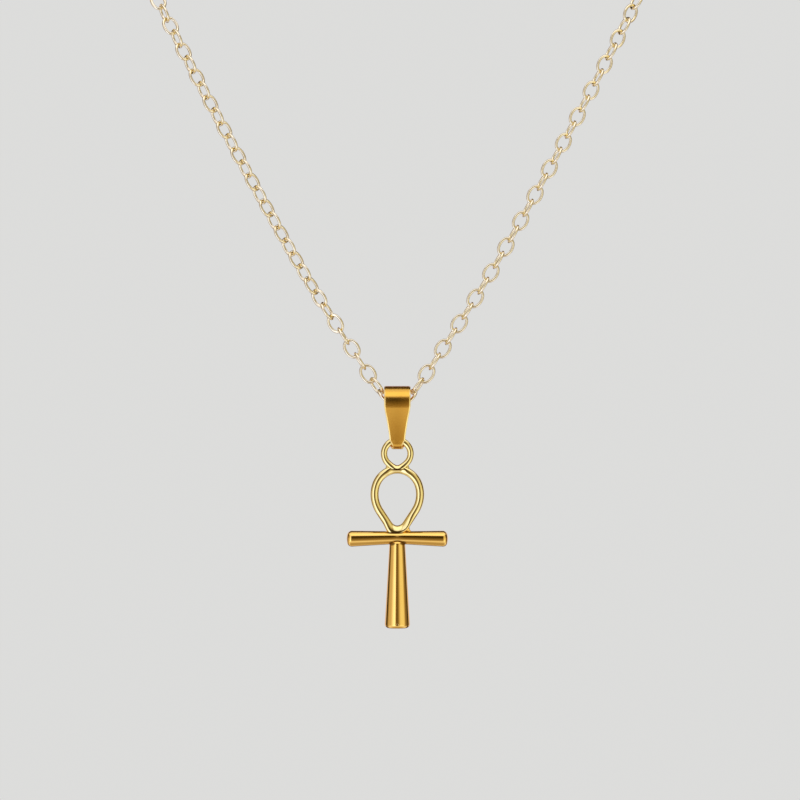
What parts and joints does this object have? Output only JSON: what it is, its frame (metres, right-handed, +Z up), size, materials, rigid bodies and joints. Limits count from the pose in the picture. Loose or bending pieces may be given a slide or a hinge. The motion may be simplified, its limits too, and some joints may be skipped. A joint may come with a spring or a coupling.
{
  "type": "ankh pendant necklace",
  "caption": "Round-bar ankh pendant with a looped head, on a folded bail that hangs from an oval-link cable chain closed by a plain clasp.",
  "frame": {"origin": "middle of the clasp, where the loop of chain lies on the nape", "axes": "+Z up, -Y towards the front, the side that the pendant shows, +X to the viewer's right"},
  "size_m": [0.1294, 0.1067, 0.1898],
  "materials": {
    "gold": "polished gold plate",
    "amber_gold": "satin gold plate",
    "pale_gold": "polished pale gold plate"
  },
  "bodies": {
    "chain": {"chain_right": "pale_gold", "chain_left": "pale_gold", "clasp": "pale_gold"},
    "bail": {"bail": "amber_gold"},
    "ankh": {"ankh": "gold"}
  },
  "joints": [
    {"name": "bail_swing", "type": "hinge", "parent": "chain", "child": "bail", "pos_m": [0, -0.102, -0.1438], "axis": [1, 0, 0], "range_deg": [-90, 90]},
    {"name": "ankh_swing", "type": "hinge", "parent": "bail", "child": "ankh", "pos_m": [0, -0.102, -0.15374], "axis": [0, 1, 0], "range_deg": [-90, 90]}
  ]
}
